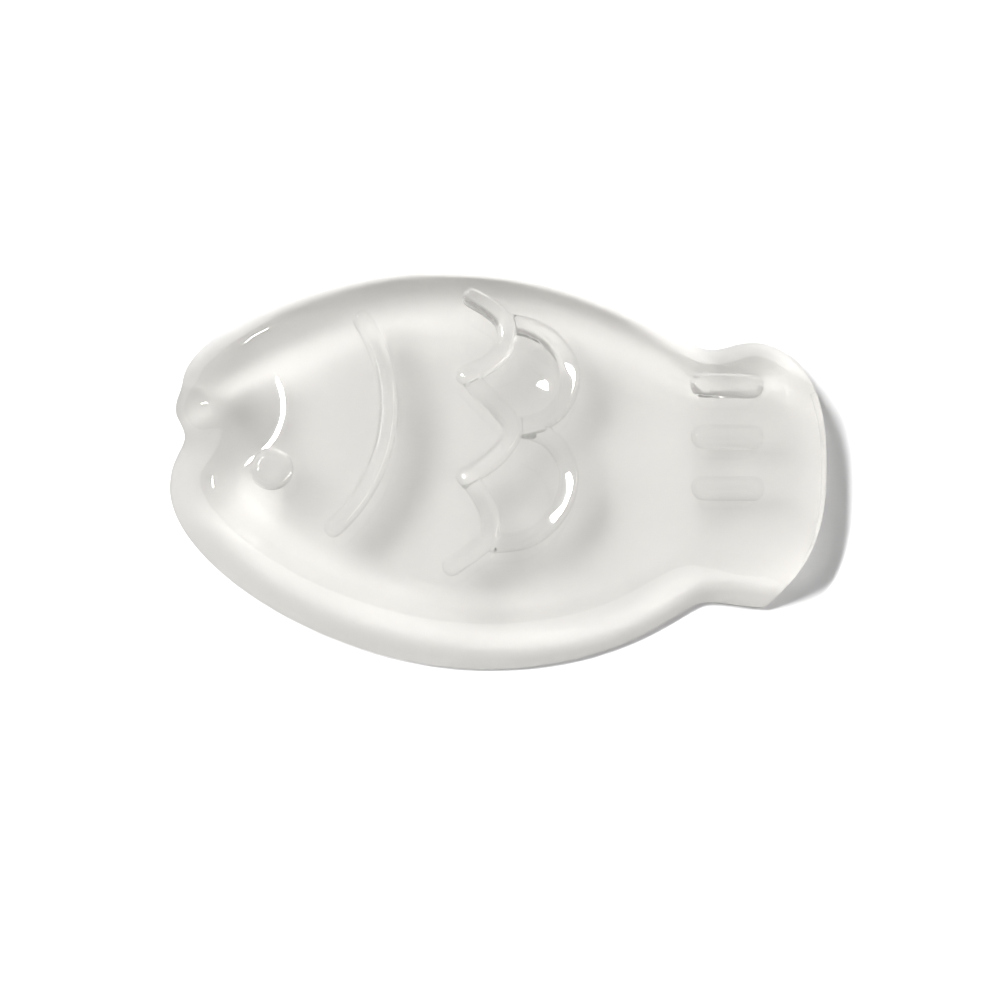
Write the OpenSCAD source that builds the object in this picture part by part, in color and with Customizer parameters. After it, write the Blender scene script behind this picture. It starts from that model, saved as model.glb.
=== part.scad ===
// Clear flat-back charm in the shape of a fish waffle, with its mouth towards -X and its tail towards +X.
// The glue face lies in the plane z = 0. Lengths are in millimetres and angles in degrees.
// The outline and the rib paths are drawn for a piece of drawn_length by drawn_width, and follow
// body_length and body_width in proportion.

/* [Casting] */
// Length over the lips and the tail
body_length = 25; // [20:0.5:32]
// Width across the back and the belly
body_width = 15.3; // [12:0.1:20]
// Height of the back over the glue face
back_height = 3.1; // [2.6:0.1:4.5]
// Height of the tail over the glue face
tail_height = 2.3; // [1.6:0.1:2.6]
// Extra height of the crown at the middle of the back
crown_height = 0.3; // [0:0.05:0.6]
// Height of the upright wall round the edge, half way between the back and the belly
edge_height = 0.65; // [0.5:0.05:0.9]
// How much taller that wall is at the back, and lower at the belly
edge_back = 0.35; // [0:0.05:0.4]
// How far the rounded shoulder reaches in from the edge
shoulder_width = 1.6; // [1.4:0.1:2]
// How much further the shoulder reaches at the belly, and less at the back
shoulder_belly = 1; // [0.4:0.1:1]
// How much further the shoulder reaches at the lips
shoulder_lips = 0.4; // [0:0.1:0.5]
// Depth of the hollow behind the lips
mouth_depth = 1.5; // [0:0.1:1.6]

/* [Ribs] */
// Width of the flat top of a scale or gill rib
rib_width = 0.5; // [0.3:0.05:0.7]
// How far the foot of a rib spreads past its top on each side
rib_draft = 0.13; // [0.05:0.01:0.2]
// How far the outer side of a rib stands up from the back
rib_height = 0.75; // [0.3:0.05:0.8]
// Share of that height that the inner side of a gill or front scale rib stops short of
rib_lean = 0.1; // [0:0.05:0.5]
// The same share for a rear scale rib
rear_lean = 0.3; // [0:0.05:0.5]
// Width of the flat top of a tail ray
ray_width = 0.55; // [0.4:0.05:0.9]
// How far the foot of a tail ray spreads past its top on each side
ray_draft = 0.2; // [0.05:0.01:0.3]
// How far a tail ray stands up from the tail
ray_height = 0.6; // [0.3:0.05:0.7]
// Length of a tail ray over its round ends
ray_length = 2.8; // [2:0.1:3.2]
// Distance from one tail ray to the next
ray_pitch = 1.95; // [1.6:0.05:2.3]

/* [Eye] */
// Diameter of the flat top of the eye button
eye_diameter = 1.3; // [0.8:0.1:1.8]
// How far the foot of the eye button spreads past its top
eye_draft = 0.2; // [0.05:0.05:0.3]
// How far the eye button stands up from the head
eye_height = 0.85; // [0.3:0.05:0.9]

/* [Hidden] */

drawn_length = 25;
drawn_width = 15.3;
stretch = [body_length / drawn_length, body_width / drawn_width];
resin = [0.90, 0.90, 0.88, 0.5];
resin_raised = [0.97, 0.97, 0.95, 0.7];

// Steps along each curve of the outline, along each short curve of the lips, and along each stretch
// of a rib's path; rings from the edge to the spine of the dome; steps round the end of a rib.
curve_steps = 14;
lip_steps = 7;
path_steps = 7;
arc_steps = 28;
ring_steps = 12;
end_steps = 8;

// The outline as cubic curves, each given by its start and its two handles; the next row's start
// ends the curve. It runs from the corner of the mouth along the belly, up the upright end of the
// tail, and home over the back and the upper lip.
belly_curves = [
    [[-11.95, 1.35], [-11.85, 0.85], [-12.5, 0.45]],
    [[-12.5, -0.7], [-12.5, -3.7], [-6.25, -7.65]],
    [[-0.4, -7.65], [5.15, -7.65], [7.15, -5.1]],
    [[8.0, -5.1], [8.9, -5.1], [9.35, -5.3]],
];
tail_end_curves = [
    [[10.3, -5.3], [12.1, -3.7], [12.5, -2.2]],
    [[12.5, 0.3], [12.5, 1.95], [12.2, 2.65]],
];
back_curves = [
    [[11.6, 4.2], [9.95, 5.45], [9.2, 4.6]],
    [[8.35, 4.6], [7.05, 4.6], [4.75, 7.65]],
    [[-2.8, 7.65], [-6.1, 7.65], [-11.9, 5.55]],
];
lip_curves = [
    [[-12.05, 3.3], [-12.1, 2.95], [-12.3, 2.75]],
    [[-12.3, 2.3], [-12.3, 1.95], [-12.05, 1.75]],
];

// Line down the middle of the dome that the rings close up to, and how nearly they reach it.
spine_start = -7.6;
spine_end = 9.6;
spine_reach = 0.92;

// Where the back drops to the tail, how far the crown reaches, and where the hollow of the mouth lies.
drop_start = 4.6;
drop_end = 9.2;
crown_reach = [9, 6];
mouth_centre = [-10.9, 2.3];
mouth_reach = [1.8, 1.7];

// Middle lines of the raised ribs. A rib that meets another one starts or ends inside it.
gill_centre = [-10.05, 2.0];
gill_radius = 6.05;
gill_start = 33;
gill_end = -48;
eye_place = [-8.35, -0.3];
front_upper_path = [
    [-0.85, 6.15], [-0.2, 5.75], [0.35, 5.2], [0.4, 4.45], [-0.1, 3.75], [-1.1, 3.2],
];
front_middle_path = [
    [-0.95, 3.1], [-0.6, 2.7], [0.15, 1.95], [0.65, 1.25], [0.35, 0.5], [-0.3, -0.15], [-1.1, -0.6],
];
front_lower_path = [
    [-0.95, -0.75], [-0.6, -1.2], [-0.25, -1.9], [-0.15, -2.55], [-0.5, -3.15], [-1.6, -3.95],
];
rear_upper_path = [
    [0.6, 5.1], [1.3, 5.0], [2.1, 4.55], [2.7, 3.75],
    [2.8, 2.9], [2.45, 2.05], [1.8, 1.5], [0.8, 1.25],
];
rear_lower_path = [
    [0.8, 1.2], [1.9, 0.9], [2.55, 0.15], [2.75, -0.7],
    [2.5, -1.65], [1.9, -2.45], [1.1, -2.95], [0.1, -3.1],
];
ray_centre = [8.75, 1.0];

// A rib starts this far down in the dome before the dome is cut from it, and is cleared this far
// above its top where another rib meets it.
rib_root = 0.5;
rib_clear = 0.3;

function scaled(p) = [p.x * stretch.x, p.y * stretch.y];
function drawn(p) = [p.x / stretch.x, p.y / stretch.y];
function clamp(x, low, high) = min(max(x, low), high);
function smooth(t) = t * t * (3 - 2 * t);
function raised(p, z) = [p.x, p.y, z];
function turned(v, angle) = [v.x * cos(angle) - v.y * sin(angle), v.x * sin(angle) + v.y * cos(angle)];
function cubic(a, b, c, d, t) =
    a * (1 - t) ^ 3 + 3 * b * t * (1 - t) ^ 2 + 3 * c * t ^ 2 * (1 - t) + d * t ^ 3;

// Points of a run of curves that ends at the given point, without that point.
function curve_points(rows, finish, steps) = [
    for (i = [0 : len(rows) - 1])
        let (next = i == len(rows) - 1 ? finish : rows[i + 1][0])
        for (k = [0 : steps - 1])
            scaled(cubic(rows[i][0], rows[i][1], rows[i][2], next, k / steps))
];
belly_points = curve_points(belly_curves, tail_end_curves[0][0], curve_steps);
tail_end_points = curve_points(tail_end_curves, back_curves[0][0], curve_steps);
back_points = curve_points(back_curves, lip_curves[0][0], curve_steps);
lip_points = curve_points(lip_curves, belly_curves[0][0], lip_steps);
outline = concat(belly_points, tail_end_points, back_points, lip_points);

// The rounded sides run from the upper corner of the tail round the mouth to the lower corner, and
// on past both. The end of the tail isn't among them, because it stands upright.
side_line = concat([scaled([13.6, 3.2])], back_points, lip_points, belly_points, [scaled([12, -6])]);

function distance_to_segment(p, a, b) =
    let (along = clamp(((p - a) * (b - a)) / ((b - a) * (b - a)), 0, 1))
    norm(p - a - (b - a) * along);
function distance_to_side(p) =
    min([for (i = [0 : len(side_line) - 2]) distance_to_segment(p, side_line[i], side_line[i + 1])]);

// Height of the dome over the glue face at a point p.
function plateau(q) =
    let (t = clamp((q.x - drop_start) / (drop_end - drop_start), 0, 1))
    back_height + (tail_height - back_height) * smooth(t);
function bump(q, reach) =
    let (r = [q.x / reach.x, q.y / reach.y])
    exp(-r * r);
function shoulder_reach(q) =
    let (
        belly = shoulder_belly * q.y / (drawn_width / 2),
        lips = shoulder_lips * min(q.x, 0) / (drawn_length / 2)
    )
    shoulder_width - belly - lips;
function dome_height(p) =
    let (
        q = drawn(p),
        inset = clamp(distance_to_side(p) / shoulder_reach(q), 0, 1),
        crown = crown_height * bump(q, crown_reach),
        mouth = mouth_depth * bump(q - mouth_centre, mouth_reach),
        full = plateau(q) + crown - mouth,
        edge = edge_height + edge_back * q.y / (drawn_width / 2)
    )
    edge + (full - edge) * sin(90 * inset);

// Two triangles for each step between two closed rings of points, the lower ring first.
function ring_faces(count, lower, upper) = [
    for (i = [0 : count - 1])
        let (j = (i + 1) % count)
        each [[lower + i, upper + i, upper + j], [lower + i, upper + j, lower + j]]
];
function flipped(faces) = [for (face = faces) [face[2], face[1], face[0]]];

// The dome: rings of points that move in from the outline to the spine and climb the shoulder. They
// lie closest together near the edge, where the shoulder is steepest.
module dome() {
    count = len(outline);
    rings = [
        for (k = [0 : ring_steps])
            let (share = spine_reach * (1 - cos(90 * k / ring_steps)))
            [
                for (p = outline)
                    let (
                        spine = [clamp(p.x, spine_start * stretch.x, spine_end * stretch.x), 0],
                        q = p + (spine - p) * share
                    )
                    raised(q, dome_height(q))
            ]
    ];
    points = concat([for (p = outline) raised(p, 0)], [for (ring = rings) each ring]);
    top = count * (ring_steps + 1);
    // The glue face and the strip along the spine join each belly point to the back point across it.
    strip = [
        for (i = [0 : count / 2 - 1])
            each [
                if (i > 0) [i, i + 1, count - i],
                if (i < count / 2 - 1) [(count - i) % count, i + 1, count - i - 1],
            ]
    ];
    faces = concat(
        strip,
        [for (k = [0 : ring_steps]) each ring_faces(count, count * k, count * (k + 1))],
        flipped([for (face = strip) [for (i = face) top + i]])
    );
    polyhedron(points, faces);
}

// A smooth line through the points of a path.
function smooth_path(path) =
    let (last = len(path) - 1)
    [
        for (i = [0 : last - 1])
            let (
                a = path[i],
                b = path[i + 1],
                before = path[max(i - 1, 0)],
                after = path[min(i + 2, last)]
            )
            for (k = [(i == 0 ? 0 : 1) : path_steps])
                scaled(cubic(a, a + (b - before) / 6, b - (after - a) / 6, b, k / path_steps))
    ];
function arc_path(centre, radius, from, to) = [
    for (k = [0 : arc_steps])
        scaled(centre + turned([radius, 0], from + (to - from) * k / arc_steps))
];
function straight_path(centre, length) = [
    for (k = [0 : path_steps])
        [centre.x * stretch.x + length * (k / path_steps - 0.5), centre.y * stretch.y]
];

// The closed outline of a band round a path, with round ends.
function band(path, half) =
    let (
        last = len(path) - 1,
        side = [
            for (i = [0 : last])
                let (along = path[min(i + 1, last)] - path[max(i - 1, 0)])
                turned(along, -90) * half / norm(along)
        ]
    )
    concat(
        [for (i = [0 : last]) path[i] + side[i]],
        [for (k = [1 : end_steps - 1]) path[last] + turned(side[last], 180 * k / end_steps)],
        [for (i = [last : -1 : 0]) path[i] - side[i]],
        [for (k = [1 : end_steps - 1]) path[0] - turned(side[0], 180 * k / end_steps)]
    );

// Triangles across a band whose path has the given number of points, seen from below.
function band_cap(steps, first) =
    let (
        far = steps + end_steps - 1,
        faces = concat(
            [for (k = [0 : end_steps - 2]) [steps - 1 + k, steps + k, far]],
            [
                for (i = [0 : steps - 2])
                    let (across = far + steps - 1 - i)
                    each [[i, i + 1, across], [i + 1, across - 1, across]]
            ],
            [for (k = [0 : end_steps - 2]) [far + steps - 1 + k, far + steps + k, 0]]
        )
    )
    [for (face = faces) [for (i = face) first + i]];

// Where each point of a band's outline lies across it, from 1 on the inner side to 0 on the outer one.
function across_band(steps) =
    let (turn = [for (k = [1 : end_steps - 1]) cos(180 * k / end_steps)])
    concat(
        [for (i = [1 : steps]) 1],
        [for (c = turn) (1 + c) / 2],
        [for (i = [1 : steps]) 0],
        [for (c = turn) (1 - c) / 2]
    );

// A stack of bands over the dome. Each row holds a half width and a height over the dome, and lean
// is the share of that height that the inner side loses.
module stacked_bands(path, rows, lean) {
    crest = [for (p = band(path, rows[len(rows) - 1][0])) dome_height(p)];
    count = len(crest);
    across = across_band(len(path));
    points = [
        for (row = rows)
            let (ring = band(path, row[0]))
            for (i = [0 : count - 1])
                raised(ring[i], crest[i] + row[1] * (row[1] > 0 ? 1 - lean * across[i] : 1))
    ];
    faces = concat(
        band_cap(len(path), 0),
        [for (k = [0 : len(rows) - 2]) each ring_faces(count, k * count, (k + 1) * count)],
        flipped(band_cap(len(path), (len(rows) - 1) * count))
    );
    polyhedron(points, faces);
}

function rib_rows(half, draft, height) = [
    [half + draft, -rib_root],
    [half + draft, 0],
    [half + draft / 3, height * 0.75],
    [half, height],
];
scale_rows = rib_rows(rib_width / 2, rib_draft, rib_height);
clear_rows = concat(scale_rows, [[rib_width / 2, rib_height + rib_clear]]);

// Whatever is raised stops at the surface of the dome.
module on_dome() {
    color(resin_raised)
        difference() {
            children();
            dome();
        }
}

// A scale rib along a path, cut back where it meets the ribs along the other paths.
module scale_rib(path, met, lean) {
    on_dome()
        difference() {
            stacked_bands(smooth_path(path), scale_rows, lean);
            for (other = met) stacked_bands(smooth_path(other), clear_rows, 0);
        }
}

module body() {
    color(resin) dome();
}

module eye_button() {
    centre = scaled(eye_place);
    on_dome()
        translate(raised(centre, dome_height(centre) - rib_root)) {
            cylinder(h = rib_root, d = eye_diameter + 2 * eye_draft, $fn = 48);
            translate([0, 0, rib_root])
                cylinder(h = eye_height, d1 = eye_diameter + 2 * eye_draft, d2 = eye_diameter, $fn = 48);
        }
}

module gill_rib() {
    on_dome() stacked_bands(arc_path(gill_centre, gill_radius, gill_start, gill_end), scale_rows, rib_lean);
}

module front_scale_upper() {
    scale_rib(front_upper_path, [], rib_lean);
}

module front_scale_middle() {
    scale_rib(front_middle_path, [front_upper_path], rib_lean);
}

module front_scale_lower() {
    scale_rib(front_lower_path, [front_middle_path], rib_lean);
}

module rear_scale_upper() {
    scale_rib(rear_upper_path, [front_upper_path, front_middle_path], rear_lean);
}

module rear_scale_lower() {
    scale_rib(rear_lower_path, [front_middle_path, front_lower_path, rear_upper_path], rear_lean);
}

module tail_ray(place) {
    centre = [ray_centre.x, ray_centre.y + place * ray_pitch];
    half = ray_width / 2;
    on_dome()
        stacked_bands(
            straight_path(centre, ray_length - 2 * (half + ray_draft)),
            rib_rows(half, ray_draft, ray_height),
            0
        );
}

body();
eye_button();
gill_rib();
front_scale_upper();
front_scale_middle();
front_scale_lower();
rear_scale_upper();
rear_scale_lower();
tail_ray(1);  // tail_ray_upper
tail_ray(0);  // tail_ray_middle
tail_ray(-1);  // tail_ray_lower
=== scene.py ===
import math

import bpy
import numpy as np
from mathutils import Matrix, Vector
from mathutils.geometry import delaunay_2d_cdt


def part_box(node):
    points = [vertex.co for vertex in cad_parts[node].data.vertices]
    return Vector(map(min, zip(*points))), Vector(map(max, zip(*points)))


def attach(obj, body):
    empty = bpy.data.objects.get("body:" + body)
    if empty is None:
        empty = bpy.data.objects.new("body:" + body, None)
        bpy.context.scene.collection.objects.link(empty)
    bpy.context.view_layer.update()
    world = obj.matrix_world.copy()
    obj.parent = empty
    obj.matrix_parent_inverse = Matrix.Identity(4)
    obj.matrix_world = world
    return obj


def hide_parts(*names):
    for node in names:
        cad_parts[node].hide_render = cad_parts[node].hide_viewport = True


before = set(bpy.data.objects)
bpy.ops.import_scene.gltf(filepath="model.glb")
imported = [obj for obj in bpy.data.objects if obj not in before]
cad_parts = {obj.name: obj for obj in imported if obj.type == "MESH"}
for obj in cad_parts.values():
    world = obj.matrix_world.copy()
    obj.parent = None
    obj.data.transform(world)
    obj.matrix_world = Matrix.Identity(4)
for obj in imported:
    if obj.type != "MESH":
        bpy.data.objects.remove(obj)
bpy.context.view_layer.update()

# The casting is drawn in millimetres, 25 long and 15.3 wide, and scaled to the body's own box.
bodyLow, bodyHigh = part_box("body")
drawnSize = (25.0, 15.3, 3.4)
unit = np.array([(bodyHigh[i] - bodyLow[i]) / drawnSize[i] for i in range(3)])
middle = np.array([(bodyHigh[0] + bodyLow[0]) / 2, (bodyHigh[1] + bodyLow[1]) / 2, bodyLow[2]])

casting = {
    "backHeight": 3.1,
    "tailHeight": 2.3,
    "crownHeight": 0.3,
    "crownReach": (9.0, 6.0),
    "edgeHeight": 0.65,           # upright wall round the rim
    "edgeTowardsBack": 0.35,      # how much taller the wall is at the back than in the middle
    "shoulderWidth": 1.6,         # how far the rounding reaches in
    "shoulderTowardsBelly": 1.0,  # how much further it reaches at the belly than in the middle
    "shoulderTowardsLips": 0.4,
    "dropStart": 4.6,             # where the back falls away to the tail
    "dropEnd": 9.2,
    "mouth": {"depth": 1.5, "centre": (-10.9, 2.3), "reach": (1.8, 1.7)},
    "cells": [                    # shallow dishes inside the rear scales
        {"depth": 0.28, "centre": (1.15, 3.05), "reach": (0.95, 0.95)},
        {"depth": 0.28, "centre": (1.05, -0.75), "reach": (0.95, 0.95)},
    ],
}
bodyMesh = {
    "rimGap": 0.1,                # spacing along the rim
    "gap": 0.15,                  # and over the back
    "rings": 18,                  # rows of points up the shoulder
    "fineDepth": 0.5,             # rows further in than this have every other point left out
    "rowSlack": 0.97,             # a row's point is dropped where the side is nearer than this share
    "shoulderGap": 0.06,          # between the last row and the points over the back
    "clearOfRim": 0.005,          # least distance of a point from the outline
    "clearOfTail": 0.05,          # from the upright end of the tail
    "clearOfFoot": 0.04,          # and from the foot of a raised feature
    "rowHeight": 0.87,            # height of a row of near-even triangles, as a share of their side
}
footInset = 0.012                 # edges take the normal of the surface this far inside them

# Each row of an outline curve is a start and two handles; the next row's start ends the curve.
bellyCurves = [
    [(-11.95, 1.35), (-11.85, 0.85), (-12.5, 0.45)],
    [(-12.5, -0.7), (-12.5, -3.7), (-6.25, -7.65)],
    [(-0.4, -7.65), (5.15, -7.65), (7.15, -5.1)],
    [(8.0, -5.1), (8.9, -5.1), (9.35, -5.3)],
]
tailEndCurves = [
    [(10.3, -5.3), (12.1, -3.7), (12.5, -2.2)],
    [(12.5, 0.3), (12.5, 1.95), (12.2, 2.65)],
]
backCurves = [
    [(11.6, 4.2), (9.95, 5.45), (9.2, 4.6)],
    [(8.35, 4.6), (7.05, 4.6), (4.75, 7.65)],
    [(-2.8, 7.65), (-6.1, 7.65), (-11.9, 5.55)],
]
lipCurves = [
    [(-12.05, 3.3), (-12.1, 2.95), (-12.3, 2.75)],
    [(-12.3, 2.3), (-12.3, 1.95), (-12.05, 1.75)],
]

ribMesh = {
    "gap": 0.05,                  # spacing along a rib
    "rows": 6,                    # rows of points up a flank
    "topGap": 0.07,               # spacing of the rows across the top
    "topSlack": 0.03,             # and how near they come to the middle line
    "bandSlack": 0.004,           # how much nearer to its line than its band a point may lie
    "clearOfFoot": 0.012,         # least distance of a point from another rib's foot
    "footWidth": 0.01,            # points this near the foot count as on it
    "root": 0.02,                 # how deep a foot lies in the body
    "join": 16,                   # how crisply two ribs run together
    "pathSteps": 12,              # points in each stretch of a path before it is spaced evenly
    "endSteps": 6,                # least steps round an end
}


def cubic(a, b, c, d, t):
    a, b, c, d = (np.array(p) for p in (a, b, c, d))
    t = t[:, None]
    return a * (1 - t) ** 3 + 3 * b * t * (1 - t) ** 2 + 3 * c * t**2 * (1 - t) + d * t**3


# Points along a run of curves that ends at the given point, without that point.
def curveRun(rows, finish):
    ends = [row[0] for row in rows[1:]] + [finish]
    runs = []
    for row, end in zip(rows, ends):
        length = np.linalg.norm(np.diff(np.array([*row, end]), axis=0), axis=1).sum()
        steps = max(4, round(length / bodyMesh["rimGap"]))
        runs.append(cubic(*row, end, np.arange(steps) / steps))
    return np.concatenate(runs)


def evenLine(line, gap):
    run = np.concatenate([[0], np.cumsum(np.linalg.norm(np.diff(line, axis=0), axis=1))])
    marks = np.linspace(0, run[-1], max(2, round(run[-1] / gap) + 1))
    return np.stack([np.interp(marks, run, line[:, k]) for k in (0, 1)], 1)


belly = curveRun(bellyCurves, tailEndCurves[0][0])
tailEnd = curveRun(tailEndCurves, backCurves[0][0])
back = curveRun(backCurves, lipCurves[0][0])
lips = curveRun(lipCurves, bellyCurves[0][0])
outline = np.concatenate([belly, tailEnd, back, lips])
# The end of the tail stands upright, so the rounded sides run on past both of its corners.
pastTail = ((13.6, 3.2), (12.0, -6.0))
sideLine = np.concatenate([[pastTail[0]], back, lips, belly, [tailEndCurves[0][0], pastTail[1]]])


# Distance from each point to a line, and how far the point lies to the left of it. The points are
# taken 500 at a time, which keeps the tables small.
def nearest(points, line):
    (stepX, stepY), (startX, startY) = np.diff(line, axis=0).T, line[:-1].T
    squaredStep = stepX**2 + stepY**2
    away, left = np.empty(len(points)), np.empty(len(points))
    for first in range(0, len(points), 500):
        part = slice(first, first + 500)
        x = points[part, 0, None] - startX
        y = points[part, 1, None] - startY
        t = np.clip((x * stepX + y * stepY) / squaredStep, 0, 1)
        x -= t * stepX
        y -= t * stepY
        squared = x * x + y * y
        k = squared.argmin(1)
        row = np.arange(len(k))
        away[part] = np.sqrt(squared[row, k])
        left[part] = (stepX[k] * y[row, k] - stepY[k] * x[row, k]) / np.sqrt(squaredStep[k])
    return away, left


def insideOf(points, loop):
    inside = np.zeros(len(points), bool)
    for a, b in zip(loop, np.roll(loop, -1, axis=0)):
        if a[1] != b[1]:
            crosses = (points[:, 1] > min(a[1], b[1])) & (points[:, 1] <= max(a[1], b[1]))
            at = a[0] + (points[:, 1] - a[1]) * (b[0] - a[0]) / (b[1] - a[1])
            inside ^= crosses & (points[:, 0] < at)
    return inside


def bump(points, form):
    return form["depth"] * np.exp(-(((points - form["centre"]) / form["reach"]) ** 2).sum(1))


# How far in from the edge the rounded shoulder reaches, at each point.
def shoulderReach(points):
    c = casting
    towardsBelly = c["shoulderTowardsBelly"] * points[:, 1] / (drawnSize[1] / 2)
    towardsLips = c["shoulderTowardsLips"] * np.minimum(points[:, 0], 0) / (drawnSize[0] / 2)
    return c["shoulderWidth"] - towardsBelly - towardsLips


# Height of the dome over the glue face.
def domeHeight(points):
    c = casting
    t = np.clip((points[:, 0] - c["dropStart"]) / (c["dropEnd"] - c["dropStart"]), 0, 1)
    full = c["backHeight"] + (c["tailHeight"] - c["backHeight"]) * t * t * (3 - 2 * t)
    full += bump(points, {"depth": c["crownHeight"], "centre": (0, 0), "reach": c["crownReach"]})
    for hollow in [c["mouth"]] + c["cells"]:
        full -= bump(points, hollow)
    inset = np.clip(nearest(points, sideLine)[0] / shoulderReach(points), 0, 1)
    edge = c["edgeHeight"] + c["edgeTowardsBack"] * points[:, 1] / (drawnSize[1] / 2)
    return edge + (full - edge) * np.sin(inset * math.pi / 2)


# How far the raised features stand up from the dome. Where two of them run together the higher one
# counts, with a small rounding between them.
def riseOver(points, lines, form):
    half, total = form["halfWidth"], np.zeros(len(points))
    for line, lean in zip(lines, form["leans"]):
        away, left = nearest(points, line)
        t = np.clip((half - away) / form["flank"], 0, 1)
        crest = form["height"] * (1 - lean * (half - left) / (2 * half))
        total += (crest * np.sqrt(1 - (1 - t) ** 2)) ** ribMesh["join"]
    return total ** (1 / ribMesh["join"])


# How a function of the place changes along x and y, measured over a short step each way.
def slopeOf(measure, points, step):
    steps = (np.array([step, 0]), np.array([0, step]))
    return np.stack([(measure(points + d) - measure(points - d)) / (2 * step) for d in steps], 1)


# Upward normals of a height function, in the piece's real proportions.
def normalsOf(height, points):
    slope = slopeOf(height, points, 0.003) * unit[2] / unit[:2]
    normal = np.concatenate([-slope, np.ones((len(points), 1))], 1)
    return normal / np.linalg.norm(normal, axis=1)[:, None]


# Triangles over all the points, with every loop kept as a line of edges.
def triangulate(loops, extra):
    points = np.concatenate(loops + [extra])
    edges, first = [], 0
    for loop in loops:
        ids = np.arange(first, first + len(loop))
        edges += np.stack([ids, np.roll(ids, -1)], 1).tolist()
        first += len(loop)
    found = delaunay_2d_cdt([Vector(p) for p in points], edges, [], 0, 1e-5)
    return np.array([tuple(p) for p in found[0]]), np.array([list(f) for f in found[2]])


def turned(vectors, angles):
    x, y = vectors[..., 0], vectors[..., 1]
    c, s = np.cos(angles), np.sin(angles)
    return np.stack([x * c - y * s, x * s + y * c], -1)


# The outline of a band round a line, with round ends.
def bandLoop(line, half):
    direction = np.gradient(line, axis=0)
    right = turned(direction / np.linalg.norm(direction, axis=1)[:, None], -math.pi / 2) * half
    steps = max(ribMesh["endSteps"], math.ceil(math.pi * half / ribMesh["gap"]))
    turn = np.linspace(0, math.pi, steps)[1:-1]
    return np.concatenate([
        line + right,
        line[-1] + turned(right[-1], turn),
        (line - right)[::-1],
        line[0] - turned(right[0], turn),
    ])


# A piece from its points, its faces, and a normal for each corner of each face. A normal of zero
# leaves that corner to Blender. Each face's finish is its place in the list of materials.
def makePiece(name, replaced, points, faces, normals, finishes, materials):
    mesh = bpy.data.meshes.new(name)
    mesh.from_pydata((points * unit + middle).tolist(), [], faces)
    mesh.polygons.foreach_set("use_smooth", [True] * len(faces))
    mesh.polygons.foreach_set("material_index", finishes)
    for material in materials:
        mesh.materials.append(material)
    corners = [tuple(n) for corner in normals for n in corner]
    mesh.normals_split_custom_set(corners)
    piece = bpy.data.objects.new(name, mesh)
    bpy.context.scene.collection.objects.link(piece)
    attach(piece, "root")
    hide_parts(replaced)
    print(name, len(faces), "faces")


# The body: the dome, its upright rim and the flat glue face. The dome has edges along the foot of
# every raised feature, and the faces inside them have the joint's finish.
def makeBody(features, materials):
    m = bodyMesh
    tangent = np.roll(outline, -1, axis=0) - np.roll(outline, 1, axis=0)
    outward = turned(tangent / np.linalg.norm(tangent, axis=1)[:, None], -math.pi / 2)
    loops = [outline]
    for lines, form in features:
        loops += [bandLoop(line, form["halfWidth"]) for line in lines]

    # Rows of points up the shoulder, closest together at the rim.
    side = evenLine(sideLine, m["rimGap"])
    run = np.gradient(side, axis=0)
    inward = turned(run / np.linalg.norm(run, axis=1)[:, None], math.pi / 2)
    rows = []
    deepest = sum(casting[key] for key in ("shoulderWidth", "shoulderTowardsBelly", "shoulderTowardsLips"))
    for k in range(1, m["rings"] + 1):
        depth = deepest * (1 - math.cos(math.pi / 2 * k / m["rings"]))
        everyOther = depth >= m["fineDepth"] and k % 2 == 1
        row = (side + inward * depth)[:: 2 if everyOther else 1]
        rows.append(row[nearest(row, sideLine)[0] > depth * m["rowSlack"]])

    # Points in near-even triangles over the back.
    reachX, reachY = drawnSize[0] / 2, drawnSize[1] / 2
    xs = np.arange(-reachX, reachX, m["gap"])
    ys = np.arange(-reachY, reachY, m["gap"] * m["rowHeight"])
    grid = np.stack(np.meshgrid(xs, ys, indexing="ij"), 2)
    grid[:, 1::2, 0] += m["gap"] / 2
    grid = grid.reshape(-1, 2)
    grid = grid[nearest(grid, sideLine)[0] > deepest + m["shoulderGap"]]
    extra = np.concatenate(rows + [grid])
    extra = extra[insideOf(extra, outline)]
    clear = nearest(extra, np.concatenate([outline, outline[:1]]))[0] > m["clearOfRim"]
    clear &= nearest(extra, np.concatenate([tailEnd, back[:1]]))[0] > m["clearOfTail"]
    for lines, form in features:
        for line in lines:
            clear &= np.abs(nearest(extra, line)[0] - form["halfWidth"]) > m["clearOfFoot"]
    flat, faces = triangulate(loops, extra[clear])
    centres = flat[faces].mean(1)
    faces = faces[insideOf(centres, outline)]
    centres = flat[faces].mean(1)
    covered = np.zeros(len(faces), bool)
    for lines, form in features:
        for line in lines:
            covered |= nearest(centres, line)[0] < form["halfWidth"]

    count = len(outline)
    assert np.abs(flat[:count] - outline).max() < 1e-4
    inner = flat.copy()
    inner[:count] -= outward * footInset
    topNormals = normalsOf(domeHeight, inner)
    points = np.concatenate([
        np.concatenate([flat, domeHeight(flat)[:, None]], 1),
        np.concatenate([outline, np.zeros((count, 1))], 1),
    ])
    baseIds = len(flat) + np.arange(count)
    ids = np.arange(count)
    following = np.roll(ids, -1)
    walls = np.stack([ids, baseIds, np.roll(baseIds, -1), following], 1)
    wallNormals = np.concatenate([outward, np.zeros((count, 1))], 1)
    allFaces = faces.tolist() + walls.tolist() + [baseIds[::-1].tolist()]
    normals = [topNormals[face] for face in faces]
    normals += [wallNormals[[i, i, j, j]] for i, j in zip(ids, following)]
    normals.append(np.tile([0.0, 0.0, -1.0], (count, 1)))
    finishes = covered.astype(int).tolist() + [0] * (count + 1)
    makePiece("body_piece", "body", points, allFaces, normals, finishes, materials)


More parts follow.
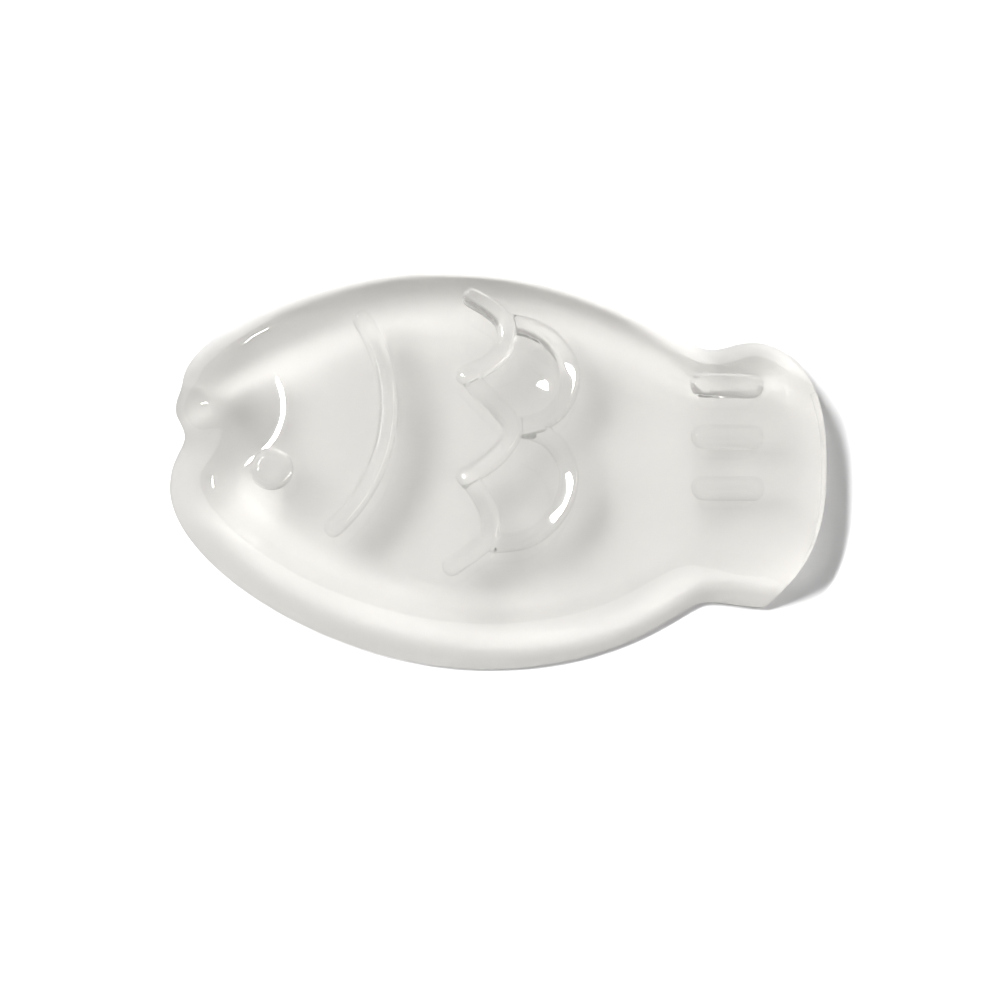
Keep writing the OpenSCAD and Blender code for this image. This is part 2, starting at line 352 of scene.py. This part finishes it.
# Raised features that touch share one surface, which is then parted between them.
def makeRaised(names, lines, form, materials):
    half, m = form["halfWidth"], ribMesh
    loops = [bandLoop(line, half) for line in lines]
    turns = math.pi / 2 * np.arange(1, m["rows"] + 1) / m["rows"]
    insets = (form["flank"] * (1 - np.cos(turns))).tolist()
    insets += np.arange(form["flank"] + m["topGap"], half - m["topSlack"], m["topGap"]).tolist()
    extra = []
    for own, line in enumerate(lines):
        bands = [bandLoop(line, half - inset) for inset in insets] + [line]
        wanted = np.repeat([half - inset for inset in insets] + [0.0], [len(band) for band in bands])
        rows = np.concatenate(bands)
        away = np.array([nearest(rows, other)[0] for other in lines])
        keep = (away[own] > wanted - m["bandSlack"]) & (away[own] <= away.min(0) + 1e-9)
        for k in range(len(lines)):
            if k != own:
                keep &= np.abs(away[k] - half) > m["clearOfFoot"]
        extra.append(rows[keep])
    flat, faces = triangulate(loops, np.concatenate(extra))
    centres = flat[faces].mean(1)
    owners = np.array([nearest(centres, line)[0] < half for line in lines])

    def height(points):
        return domeHeight(points) + riseOver(points, lines, form)

    # At the very foot the surface is measured just inside it.
    away = np.array([nearest(flat, line)[0] for line in lines])
    inner = flat.copy()
    onFoot = away.min(0) > half - m["footWidth"]
    for k, line in enumerate(lines):
        pick = onFoot & (away.argmin(0) == k)
        if pick.any():
            outwards = slopeOf(lambda points: nearest(points, line)[0], flat[pick], 0.001)
            inner[pick] -= outwards * footInset
    allNormals = normalsOf(height, inner)
    top, dome = height(flat), domeHeight(flat)
    taken = np.zeros(len(faces), bool)
    for own, name in enumerate(names):
        mine = faces[owners[own] & ~taken]
        taken |= owners[own]
        used, local = np.unique(mine, return_inverse=True)
        local = local.reshape(mine.shape)
        n = len(used)
        points = np.concatenate([
            np.concatenate([flat[used], top[used, None]], 1),
            np.concatenate([flat[used], dome[used, None] - m["root"]], 1),
        ])
        edges = np.concatenate([local[:, [0, 1]], local[:, [1, 2]], local[:, [2, 0]]])
        known = set(map(tuple, edges.tolist()))
        rim = [(a, b) for a, b in known if (b, a) not in known]
        rim.sort()
        walls = [[b, a, a + n, b + n] for a, b in rim]
        under = (local[:, ::-1] + n).tolist()
        topNormals = allNormals[used]
        normals = [topNormals[face] for face in local]
        normals += [np.zeros((3, 3)) for face in under] + [np.zeros((4, 3)) for wall in walls]
        finishes = [0] * len(local) + [1] * (len(under) + len(walls))
        allFaces = local.tolist() + under + walls
        makePiece(name + "_piece", name, points, allFaces, normals, finishes, materials)


def smoothPath(path):
    path = np.array(path)
    t = np.linspace(0, 1, ribMesh["pathSteps"], endpoint=False)
    runs = []
    for i in range(len(path) - 1):
        a, b = path[i], path[i + 1]
        before, after = path[max(i - 1, 0)], path[min(i + 2, len(path) - 1)]
        runs.append(cubic(a, a + (b - before) / 6, b - (after - a) / 6, b, t))
    return evenLine(np.concatenate(runs + [path[-1:]]), ribMesh["gap"])


def arcPath(centre, radius, start, end):
    steps = round(math.radians(start - end) * radius / ribMesh["gap"])
    turn = np.radians(np.linspace(start, end, steps))
    return np.stack([centre[0] + radius * np.cos(turn), centre[1] + radius * np.sin(turn)], 1)


def straightPath(centre, length):
    ends = [(centre[0] + side * length / 2, centre[1]) for side in (-1, 1)]
    return evenLine(np.array(ends), ribMesh["gap"])


# A socket that takes part in sums, so that shader maths reads as maths.
class Value:
    def __init__(self, tree, socket):
        self.tree, self.socket = tree, socket

    def maths(self, operation, first, second):
        node = self.tree.nodes.new("ShaderNodeMath")
        node.operation = operation
        for place, value in zip(node.inputs, (first, second)):
            if isinstance(value, Value):
                self.tree.links.new(value.socket, place)
            else:
                place.default_value = value
        return Value(self.tree, node.outputs[0])

    def __add__(self, other):
        return self.maths("ADD", self, other)

    def __sub__(self, other):
        return self.maths("SUBTRACT", self, other)

    def __mul__(self, other):
        return self.maths("MULTIPLY", self, other)

    def __rsub__(self, other):
        return self.maths("SUBTRACT", other, self)

    __radd__, __rmul__ = __add__, __mul__


# The nodes of a material or of the world, while they are put together.
class Finish:
    def __init__(self, owner):
        owner.use_nodes = True
        self.owner = owner
        self.tree = owner.node_tree
        self.tree.nodes.clear()

    def node(self, kind, settings=None, values=None, out=0):
        node = self.tree.nodes.new("ShaderNode" + kind)
        for key, value in (settings or {}).items():
            setattr(node, key, value)
        for key, value in (values or {}).items():
            if isinstance(value, Value):
                self.tree.links.new(value.socket, node.inputs[key])
            else:
                node.inputs[key].default_value = value
        return Value(self.tree, node.outputs[out]) if node.outputs else None


resin = {
    "tint": (0.845, 0.836, 0.816, 1.0),
    "ior": 1.45,
    "roughness": 0.03,            # where the grain is lowest
    "grainRoughness": 0.04,       # and how much the grain adds
    "rippleScale": 900.0,         # slow ripple of the cast surface, in waves to the metre
    "grainScale": 6000.0,
    "rippleShare": 0.7,
    "bumpStrength": 0.05,
    "bumpHeight": 0.00002,
}


def clearResin(name, seed):
    f = Finish(bpy.data.materials.new(name))
    place = f.node("TexCoord", out="Object")
    shifted = f.node("VectorMath", {"operation": "ADD"}, {0: place, 1: (seed, seed * 0.7, 0.0)})
    ripple = f.node("TexNoise", {}, {"Vector": shifted, "Scale": resin["rippleScale"], "Detail": 2.0})
    grain = f.node("TexNoise", {}, {"Vector": shifted, "Scale": resin["grainScale"], "Detail": 3.0})
    bumped = f.node("Bump", {}, {
        "Height": ripple * resin["rippleShare"] + grain * (1 - resin["rippleShare"]),
        "Strength": resin["bumpStrength"],
        "Distance": resin["bumpHeight"],
    })
    rough = resin["roughness"] + grain * resin["grainRoughness"]
    shader = f.node("BsdfPrincipled", {}, {
        "Base Color": resin["tint"],
        "Roughness": rough,
        "IOR": resin["ior"],
        "Transmission Weight": 1.0,
        "Normal": bumped,
    })
    f.node("OutputMaterial", {}, {"Surface": shader})
    return f.owner


# Where a raised feature meets the body the resin runs on, so light passes that surface unchanged.
def jointFinish():
    f = Finish(bpy.data.materials.new("fused_joint"))
    shader = f.node("BsdfPrincipled", {}, {
        "Base Color": (1.0, 1.0, 1.0, 1.0),
        "Roughness": 0.0,
        "IOR": 1.0,
        "Transmission Weight": 1.0,
    })
    f.node("OutputMaterial", {}, {"Surface": shader})
    return f.owner


# The raised features: half the width of the foot, height on the outer side, how wide the rounded
# flank is, and for each line the share of the height that the inner side stops short of.
scales = {
    "halfWidth": 0.37,
    "height": 0.75,
    "flank": 0.22,
    "leans": [0.1, 0.1, 0.1, 0.255, 0.27],
    "paths": {
        "front_scale_upper": [
            (-0.85, 6.15), (-0.2, 5.75), (0.35, 5.2),
            (0.4, 4.45), (-0.1, 3.75), (-1.1, 3.2),
        ],
        "front_scale_middle": [
            (-0.95, 3.1), (-0.6, 2.7), (0.15, 1.95), (0.65, 1.25),
            (0.35, 0.5), (-0.3, -0.15), (-1.1, -0.6),
        ],
        "front_scale_lower": [
            (-0.95, -0.75), (-0.6, -1.2), (-0.25, -1.9),
            (-0.15, -2.55), (-0.5, -3.15), (-1.6, -3.95),
        ],
        "rear_scale_upper": [
            (0.55, 5.15), (1.3, 5.0), (2.1, 4.55), (2.7, 3.75),
            (2.8, 2.9), (2.45, 2.05), (1.8, 1.5), (0.8, 1.25),
        ],
        "rear_scale_lower": [
            (0.8, 1.25), (1.9, 0.9), (2.55, 0.15), (2.75, -0.7),
            (2.5, -1.65), (1.9, -2.45), (1.1, -2.95), (0.0, -3.1),
        ],
    },
}
gill = {
    "halfWidth": 0.37,
    "height": 0.75,
    "flank": 0.22,
    "leans": [0.08],
    "centre": (-10.05, 2.0),
    "radius": 6.05,
    "start": 33,                  # degrees, at the back
    "end": -48,                   # and at the belly
}
eye = {
    "halfWidth": 0.8,
    "height": 0.85,
    "flank": 0.4,
    "leans": [0],
    "centre": (-8.35, -0.3),
    "stretch": 0.02,              # length of the short line that the eye is drawn round
}
rays = {
    "halfWidth": 0.47,
    "height": 0.6,
    "flank": 0.24,
    "leans": [0],
    "length": 2.8,
    "pitch": 1.95,
    "centre": (8.75, 1.0),
    "places": {"tail_ray_upper": 1, "tail_ray_middle": 0, "tail_ray_lower": -1},
}

joint = jointFinish()
bodyFinishes = [clearResin("clear_resin_body", 0.0), joint]
raisedFinishes = [clearResin("clear_resin_raised", 3.0), joint]
scaleLines = [smoothPath(path) for path in scales["paths"].values()]
gillLine = arcPath(gill["centre"], gill["radius"], gill["start"], gill["end"])
eyeLine = np.array([eye["centre"], (eye["centre"][0] + eye["stretch"], eye["centre"][1])])
rayLines = [
    straightPath(
        (rays["centre"][0], rays["centre"][1] + place * rays["pitch"]),
        rays["length"] - 2 * rays["halfWidth"],
    )
    for place in rays["places"].values()
]
makeBody([(scaleLines, scales), ([gillLine], gill), ([eyeLine], eye), (rayLines, rays)], bodyFinishes)
makeRaised(list(scales["paths"]), scaleLines, scales, raisedFinishes)
makeRaised(["gill_rib"], [gillLine], gill, raisedFinishes)
makeRaised(["eye_button"], [eyeLine], eye, raisedFinishes)
for name, line in zip(rays["places"], rayLines):
    makeRaised([name], [line], rays, raisedFinishes)
print("raised features done")

stage = {"reflectance": 0.9, "roughness": 0.9, "reach": 1.0, "drop": 2e-5}
paper = Finish(bpy.data.materials.new("paper"))
grey = (stage["reflectance"],) * 3 + (1.0,)
dull = paper.node("BsdfPrincipled", {}, {"Base Color": grey, "Roughness": stage["roughness"]})
paper.node("OutputMaterial", {}, {"Surface": dull})
square = ((-1, -1), (1, -1), (1, 1), (-1, 1))
corners = [(x * stage["reach"], y * stage["reach"], -stage["drop"]) for x, y in square]
mesh = bpy.data.meshes.new("floor")
mesh.from_pydata(corners, [], [(0, 1, 2, 3)])
mesh.materials.append(paper.owner)
floor = bpy.data.objects.new("floor", mesh)
bpy.context.scene.collection.objects.link(floor)

# The studio is bright overhead and falls away towards the horizon. Both ends of the fall are given
# as heights on a sphere of radius 1.
studio = {"overhead": 0.7, "horizon": 0.2, "fallEnd": 0.7, "fallStart": 0.95}
bpy.context.scene.world = bpy.data.worlds.new("studio")
sky = Finish(bpy.context.scene.world)
skyHeight = sky.node("SeparateXYZ", {}, {0: sky.node("TexCoord", out="Generated")}, "Z")
brightness = sky.node("MapRange", {"interpolation_type": "SMOOTHSTEP"}, {
    "Value": skyHeight,
    "From Min": studio["fallEnd"],
    "From Max": studio["fallStart"],
    "To Min": studio["horizon"],
    "To Max": studio["overhead"],
})
glow = sky.node("Background", {}, {"Color": (1.0, 1.0, 1.0, 1.0), "Strength": brightness})
sky.node("OutputWorld", {}, {"Surface": glow})

# A strip lamp up on the left, turned across its own direction.
lamp = {"azimuth": 152, "tilt": 31, "distance": 0.5, "width": 0.035, "length": 0.2, "strength": 4.4}
light = bpy.data.lights.new("key", "AREA")
light.shape = "RECTANGLE"
light.size = lamp["width"]
light.size_y = lamp["length"]
light.energy = lamp["strength"]
key = bpy.data.objects.new("key", light)
turn, tilt = math.radians(lamp["azimuth"]), math.radians(lamp["tilt"])
away = Vector((math.cos(turn) * math.sin(tilt), math.sin(turn) * math.sin(tilt), math.cos(tilt)))
acrossLamp = Vector((-math.sin(turn), math.cos(turn), 0))
key.matrix_world = Matrix((
    (*acrossLamp.cross(away), 0), (*acrossLamp, 0), (*away, 0), (0, 0, 0, 1)
)).transposed()
key.location = away * lamp["distance"]
bpy.context.scene.collection.objects.link(key)
print("studio done")

camera = {"elevation": 84, "distance": 0.0913, "lens": 85, "aim": (0.0002, -0.00115, 0.0)}
cam = bpy.data.cameras.new("camera")
cam.lens = camera["lens"]
cam.clip_start, cam.clip_end = 0.001, 10
cameraObject = bpy.data.objects.new("camera", cam)
lift = math.radians(camera["elevation"])
backwards = Vector((0, -math.cos(lift), math.sin(lift)))
cameraObject.location = Vector(camera["aim"]) + backwards * camera["distance"]
cameraObject.rotation_mode = "QUATERNION"
cameraObject.rotation_quaternion = backwards.to_track_quat("Z", "Y")
bpy.context.scene.collection.objects.link(cameraObject)
bpy.context.scene.camera = cameraObject
bpy.context.scene.view_settings.view_transform = "Standard"
